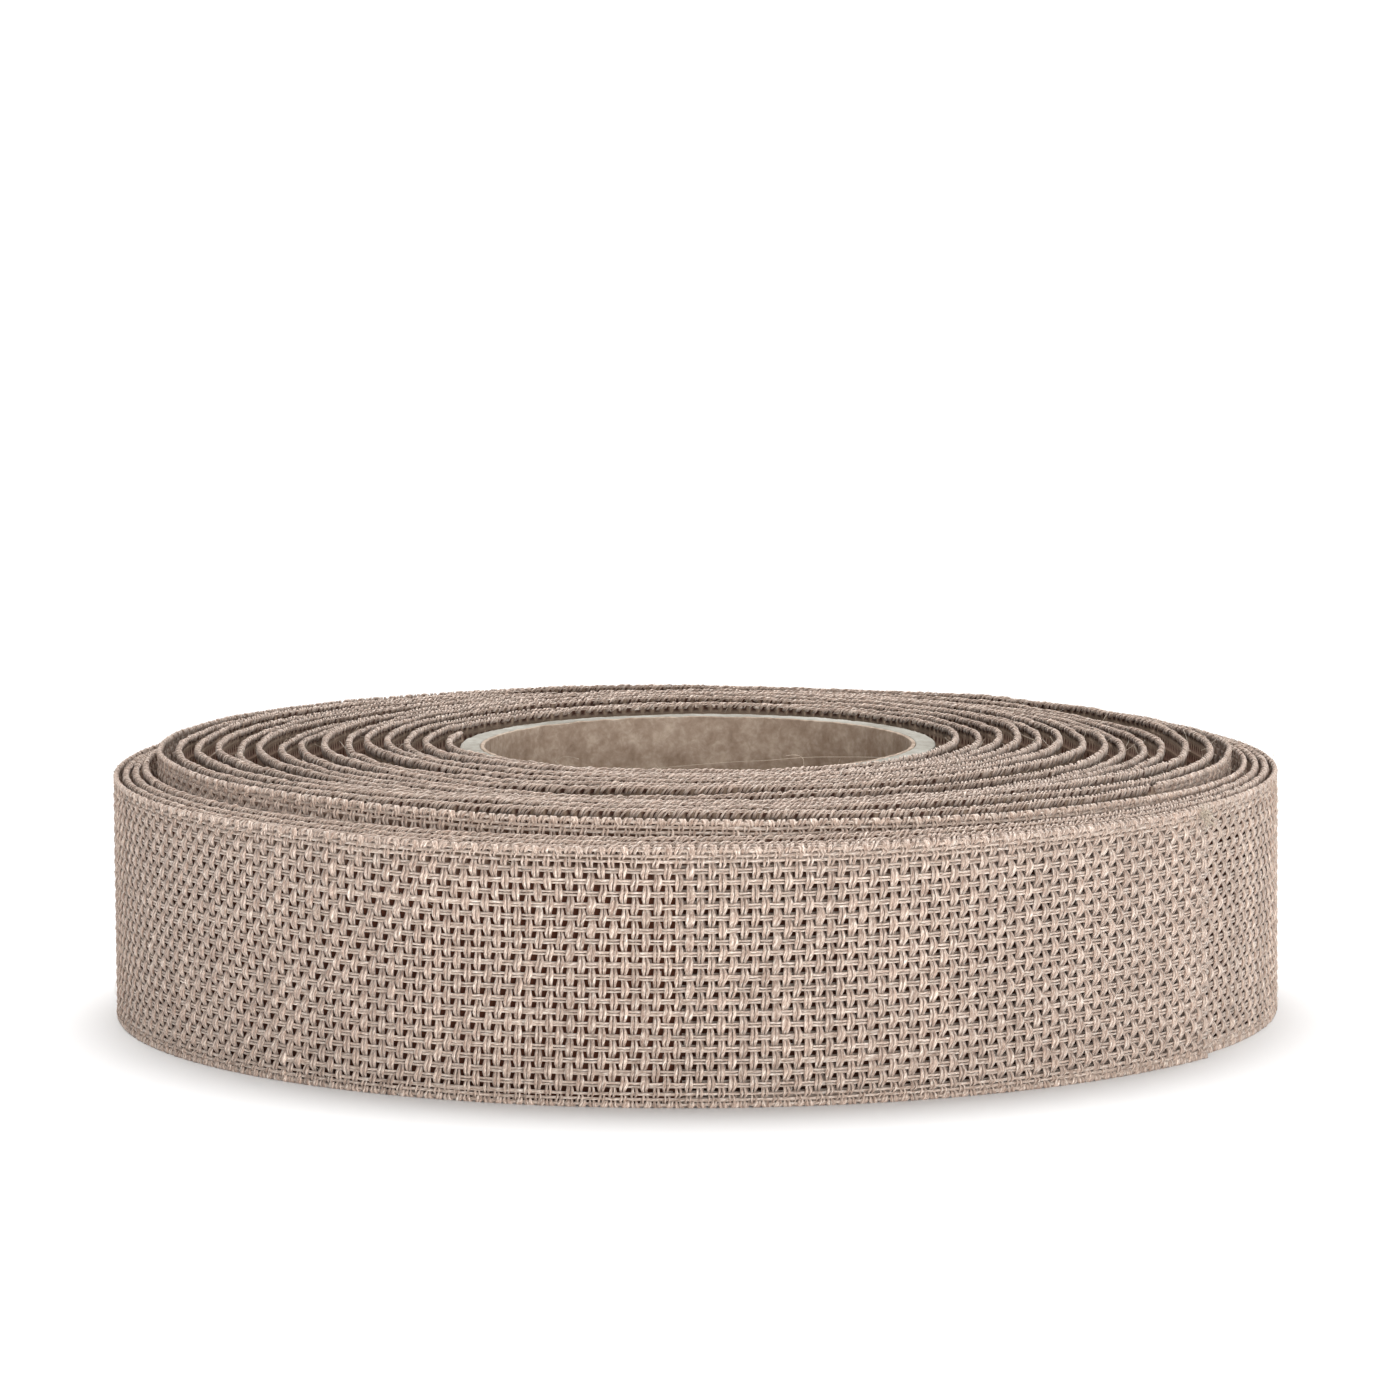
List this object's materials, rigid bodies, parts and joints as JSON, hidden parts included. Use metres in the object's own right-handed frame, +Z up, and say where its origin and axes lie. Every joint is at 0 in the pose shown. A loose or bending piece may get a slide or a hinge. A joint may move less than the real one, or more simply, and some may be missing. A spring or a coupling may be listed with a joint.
{
  "type": "ribbon spool",
  "caption": "Roll of open-weave natural linen gift ribbon wound loosely in a spiral on a plain cardboard core, lying flat, with a free end that peels away from the roll.",
  "frame": {"origin": "on the core's axis, at the height of the surface that the roll lies on", "axes": "+Z up along the core's axis; -Y towards the front of the roll as it is usually seen; the ribbon's free end lies 34 degrees from +X towards -Y"},
  "size_m": [0.1197, 0.1201, 0.0282],
  "materials": {
    "woven_linen": "matte",
    "greyboard": "matte",
    "kraft_ply": "matte",
    "paper_tape": "satin"
  },
  "bodies": {
    "roll": {"core_liner": "kraft_ply", "core_board": "greyboard", "start_tape": "paper_tape", "ribbon_roll": "woven_linen"},
    "tail_root": {"ribbon_tail_root": "woven_linen"},
    "tail_middle": {"ribbon_tail_middle": "woven_linen"},
    "tail_tip": {"ribbon_tail_tip": "woven_linen"}
  },
  "joints": [
    {"name": "tail_peel", "type": "hinge", "parent": "roll", "child": "tail_root", "pos_m": [0.0021, -0.06006, 0], "axis": [0, 0, -1], "range_deg": [0, 45]},
    {"name": "tail_curl_middle", "type": "hinge", "parent": "tail_root", "child": "tail_middle", "pos_m": [0.02057, -0.05652, 0], "axis": [0, 0, -1], "range_deg": [0, 45]},
    {"name": "tail_curl_tip", "type": "hinge", "parent": "tail_middle", "child": "tail_tip", "pos_m": [0.03706, -0.04743, 0], "axis": [0, 0, -1], "range_deg": [0, 45]}
  ],
  "couplings": [
    {"joint": "tail_curl_middle", "follows": "tail_peel", "ratio": 1},
    {"joint": "tail_curl_tip", "follows": "tail_peel", "ratio": 1}
  ]
}
